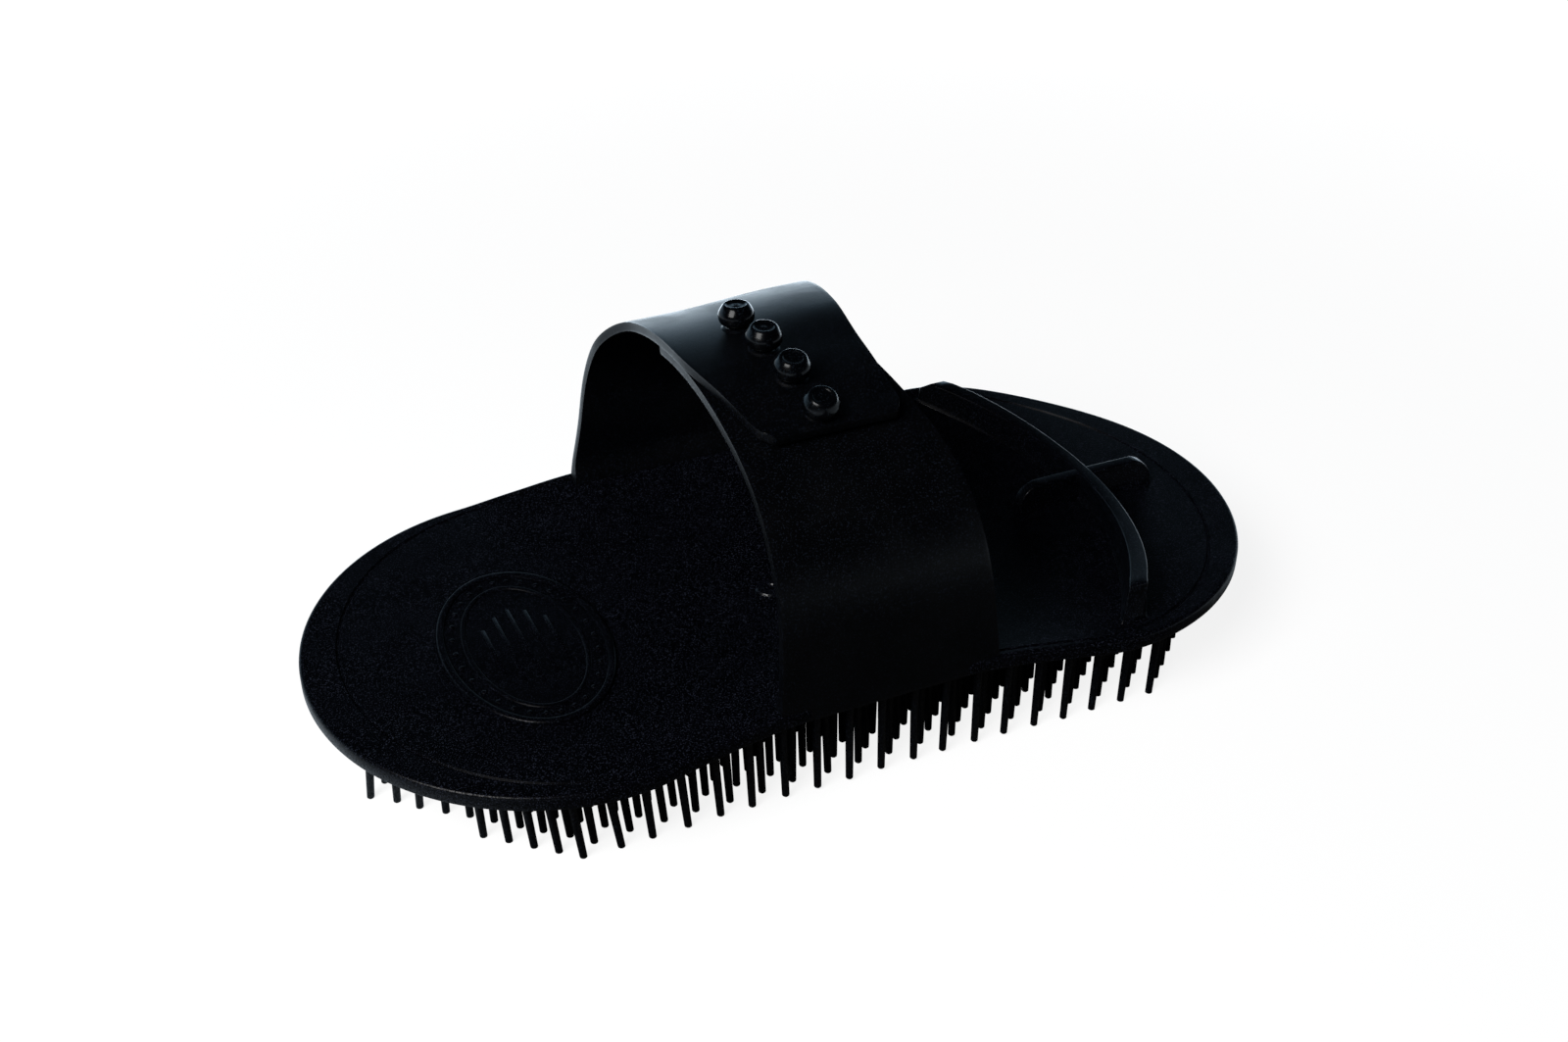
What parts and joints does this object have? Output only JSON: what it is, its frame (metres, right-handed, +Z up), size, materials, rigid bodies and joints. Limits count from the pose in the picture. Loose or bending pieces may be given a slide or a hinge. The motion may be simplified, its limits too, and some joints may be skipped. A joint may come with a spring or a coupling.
{
  "type": "flexible grooming comb",
  "caption": "Waisted flexible grooming comb with a field of round pins, a buttoned hand strap over its back and a cross-shaped finger grip.",
  "frame": {"origin": "middle of the comb, level with the pin tips it stands on", "axes": "+X along the plate towards the finger grip, +Y across it, from the buttoned wing's root to the holed wing's root, +Z up from the pin tips to the strap"},
  "size_m": [0.19, 0.092, 0.0767],
  "materials": {
    "plate_rubber": "moulded, fine matt grain on top, speckled rim",
    "pad_rubber": "moulded, fine matt grain, raised smooth rim",
    "grip_rubber": "moulded, satin",
    "strap_rubber": "moulded, satin with a faint blue sheen",
    "button_rubber": "moulded, smooth and slightly glossy",
    "pin_rubber": "moulded, satin"
  },
  "bodies": {
    "comb": {"base_plate": "plate_rubber", "oval_pad": "pad_rubber", "finger_grip": "grip_rubber", "pin_row_01": "pin_rubber", "pin_row_02": "pin_rubber", "pin_row_03": "pin_rubber", "pin_row_04": "pin_rubber", "pin_row_05": "pin_rubber", "pin_row_06": "pin_rubber", "pin_row_07": "pin_rubber", "pin_row_08": "pin_rubber", "pin_row_09": "pin_rubber", "pin_row_10": "pin_rubber", "pin_row_11": "pin_rubber", "pin_row_12": "pin_rubber", "pin_row_13": "pin_rubber", "pin_row_14": "pin_rubber", "pin_row_15": "pin_rubber", "pin_row_16": "pin_rubber", "pin_row_17": "pin_rubber", "pin_row_18": "pin_rubber", "pin_row_19": "pin_rubber", "pin_row_20": "pin_rubber", "pin_row_21": "pin_rubber", "pin_row_22": "pin_rubber", "pin_row_23": "pin_rubber", "pin_row_24": "pin_rubber", "pin_row_25": "pin_rubber"},
    "far_wing": {"far_strap_wing": "strap_rubber"},
    "near_wing": {"near_strap_wing": "strap_rubber", "strap_buttons": "button_rubber"}
  },
  "joints": [
    {"name": "far_wing_bend", "type": "hinge", "parent": "comb", "child": "far_wing", "pos_m": [0, 0.0419, 0.0195], "axis": [-1, 0, 0], "range_deg": [0, 90], "deforming": ["strap_buttons"]},
    {"name": "near_wing_bend", "type": "hinge", "parent": "comb", "child": "near_wing", "pos_m": [0, -0.0419, 0.0195], "axis": [1, 0, 0], "range_deg": [0, 36]}
  ],
  "couplings": [
    {"joint": "near_wing_bend", "follows": "far_wing_bend", "ratio": 0.4}
  ]
}
